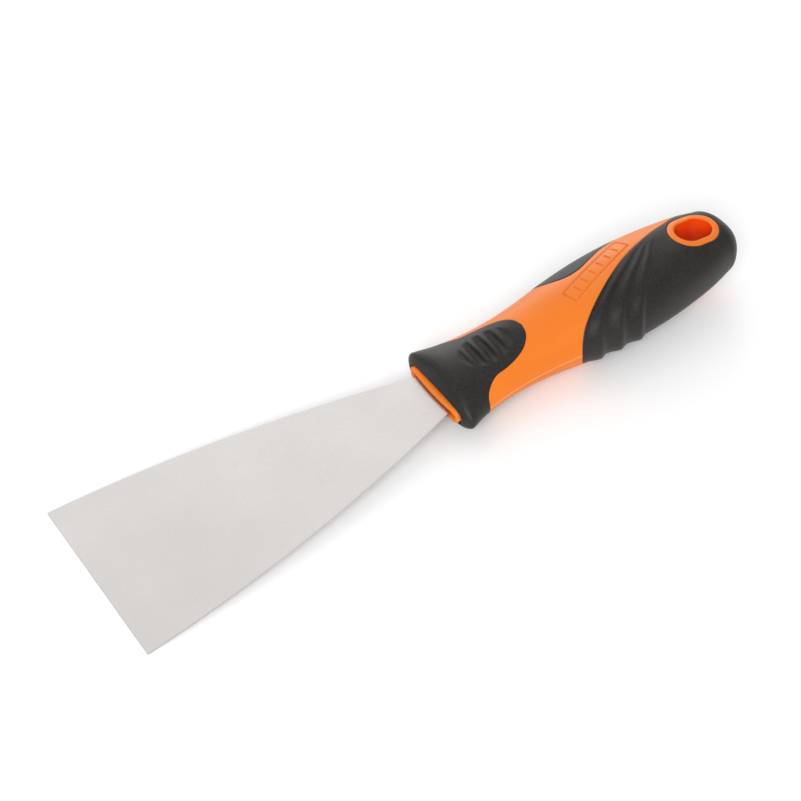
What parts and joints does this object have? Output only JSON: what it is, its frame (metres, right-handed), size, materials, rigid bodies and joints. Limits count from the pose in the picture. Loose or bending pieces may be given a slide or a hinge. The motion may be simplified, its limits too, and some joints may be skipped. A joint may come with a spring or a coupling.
{
  "type": "flexible putty knife",
  "caption": "Hand tool with a thin tapered spring-steel blade and a two-tone soft-grip handle, for spreading filler and scraping paint.",
  "frame": {"origin": "centre of the hang hole, on the plane halfway through the blade", "axes": "+X from the scraping edge to the butt, +Y across the blade, +Z out of the blade's upper face"},
  "size_m": [0.2373, 0.063, 0.0264],
  "materials": {
    "blade_steel": "satin, finely ground",
    "orange_plastic": "satin moulded polypropylene",
    "grip_rubber": "matt soft-touch thermoplastic rubber"
  },
  "bodies": {
    "root": {"blade": "blade_steel", "handle_core": "orange_plastic", "front_grip": "grip_rubber", "rear_grip": "grip_rubber"}
  },
  "joints": []
}
